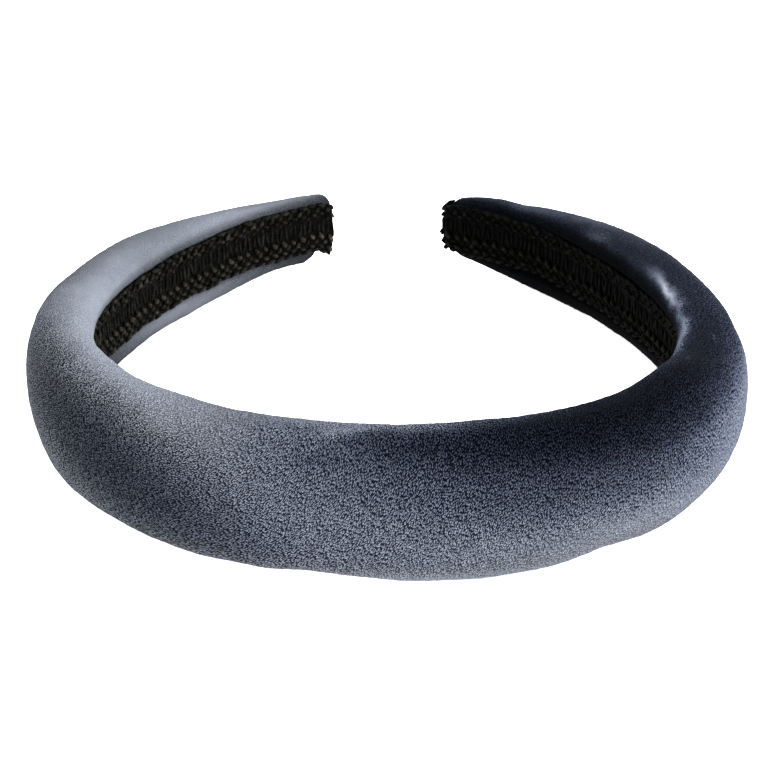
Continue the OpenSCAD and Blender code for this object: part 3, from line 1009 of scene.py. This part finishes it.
class HEADBAND_OT_braid(bpy.types.Operator):
    """Models the corded braid and the web behind its cords"""

    bl_idname = "headband.braid"
    bl_label = "Lining braid"

    def execute(self, context):
        stitches = context.scene.headband_braid.stitches
        cords, sizes = model_stitches(BRAID_LENGTH / stitches, stitches)
        x, y, z = loosen(points_of(cords), sizes, stitches).T
        keep_lay(cords, x, -y, z)
        finish_piece(cords, "Black braid cord")

        web = new_primitive("braid_web", bpy.ops.mesh.primitive_cube_add, size=1)
        divide_edges(web, 0, *WEB_PARTS_ALONG)
        divide_edges(web, 2, WEB_PARTS_ACROSS)
        x, y, z = points_of(web).T
        keep_lay(
            web, (x + 0.5) * (BRAID_LENGTH - 2 * WEB_MARGIN) + WEB_MARGIN,
            WEB_DEPTH + (0.5 - y) * WEB_THICKNESS, z * (BRAID_WIDTH - WEB_INSET))
        finish_piece(web, "Black braid web")
        only(web)
        bpy.ops.object.shade_smooth_by_angle(angle=WEB_CREASE)

        for piece in (cords, web):
            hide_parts("lining_braid")
            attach(piece, "root")
        return {"FINISHED"}


# Materials and stage

FLOOR_SIZE, FLOOR_HEIGHT = 6, -0.0007
PAPER_FINISH = {"Roughness": 0.9, "Specular IOR Level": 0.1, "Emission Color": (1, 1, 1, 1)}
# Name, place and size in m, and share of the key light's power of each lamp
LAMPS = (
    ("key", (0.9, -0.35, 0.85), 0.8, 1.0),
    ("fill", (-0.8, -0.7, 0.7), 1.0, 0.1),
)
# The point that the camera looks at, its turns about the upright and its own axis, and its lens
AIM = Vector((0.103, 0.0, 5.531)) * MM
YAW, ROLL = math.radians(0.142), math.radians(-0.228)
SENSOR, LENS, NEAREST, FARTHEST = 36.0, 130.45, 0.01, 20


class HEADBAND_OT_materials(bpy.types.Operator):
    """Builds the shader groups and the materials of the velvet and the braid"""

    bl_idname = "headband.materials"
    bl_label = "Materials"

    def execute(self, context):
        grain, patch = fibre_grain(), painted_light_oval()
        velvet_material(context.scene.headband_velvet, grain, patch)
        braid = context.scene.headband_braid
        braid_material("Black braid cord", braid.cord, braid.web, grain)
        # the web behind the cords is all in the painted shade colour
        braid_material("Black braid web", braid.web, braid.web, grain)
        return {"FINISHED"}


class HEADBAND_OT_stage(bpy.types.Operator):
    """Sets up the floor, the light and the camera"""

    bl_idname = "headband.stage"
    bl_label = "Stage"

    def execute(self, context):
        scene = context.scene
        settings = scene.headband_stage
        scene.view_settings.view_transform = "Standard"
        scene.world = bpy.data.worlds.new("Soft studio")
        scene.world.use_nodes = True
        sky = scene.world.node_tree.nodes["Background"].inputs
        sky["Color"].default_value = (1, 1, 1, 1)
        sky["Strength"].default_value = settings.sky

        deselect()
        bpy.ops.mesh.primitive_plane_add(size=FLOOR_SIZE, location=(0, 0, FLOOR_HEIGHT))
        floor = context.object
        floor.name = "floor"
        paper = new_material("Pale paper", {
            **PAPER_FINISH, "Base Color": (*settings.floor, 1), "Emission Strength": settings.glow})
        floor.data.materials.append(paper[0])

        for name, spot, size, share in LAMPS:
            bpy.ops.object.light_add(type="AREA", location=spot)
            lamp = context.object
            lamp.name = name
            lamp.data.size = size
            lamp.data.energy = settings.key * share
            lamp.rotation_euler = (-Vector(spot)).to_track_quat("-Z", "Y").to_euler()

        level, lift = math.cos(settings.elevation), math.sin(settings.elevation)
        back = Vector((math.sin(YAW) * level, -math.cos(YAW) * level, lift))
        right = Vector((math.cos(YAW), math.sin(YAW), 0))
        right = math.cos(ROLL) * right + math.sin(ROLL) * back.cross(right)
        bpy.ops.object.camera_add(location=AIM + back * settings.distance)
        camera = context.object
        camera.name = "camera"
        camera.rotation_euler = Matrix((right, back.cross(right), back)).transposed().to_euler()
        camera.data.sensor_width, camera.data.lens = SENSOR, LENS
        camera.data.clip_start, camera.data.clip_end = NEAREST, FARTHEST
        scene.camera = camera
        return {"FINISHED"}


STEPS = (HEADBAND_OT_materials, HEADBAND_OT_stage, HEADBAND_OT_velvet_band, HEADBAND_OT_braid)
GROUPS = {
    "headband_velvet": HeadbandVelvet,
    "headband_braid": HeadbandBraid,
    "headband_stage": HeadbandStage,
}


class HEADBAND_PT_sidebar(bpy.types.Panel):
    """Lists the settings and the steps that make the headband"""

    bl_label = "Headband"
    bl_space_type = "VIEW_3D"
    bl_region_type = "UI"
    bl_category = "Headband"

    def draw(self, context):
        for group in GROUPS:
            box = self.layout.box()
            settings = getattr(context.scene, group)
            for name in type(settings).__annotations__:
                box.prop(settings, name)
        for step in STEPS:
            self.layout.operator(step.bl_idname)


def register():
    for made in (*GROUPS.values(), *STEPS, HEADBAND_PT_sidebar):
        bpy.utils.register_class(made)
    for name, group in GROUPS.items():
        setattr(bpy.types.Scene, name, PointerProperty(type=group))


def unregister():
    for name in GROUPS:
        delattr(bpy.types.Scene, name)
    for made in (HEADBAND_PT_sidebar, *reversed(STEPS), *GROUPS.values()):
        bpy.utils.unregister_class(made)


def main():
    register()
    bpy.ops.headband.materials()
    bpy.ops.headband.stage()
    bpy.ops.headband.velvet_band()
    bpy.ops.headband.braid()


if __name__ == "__main__":
    main()
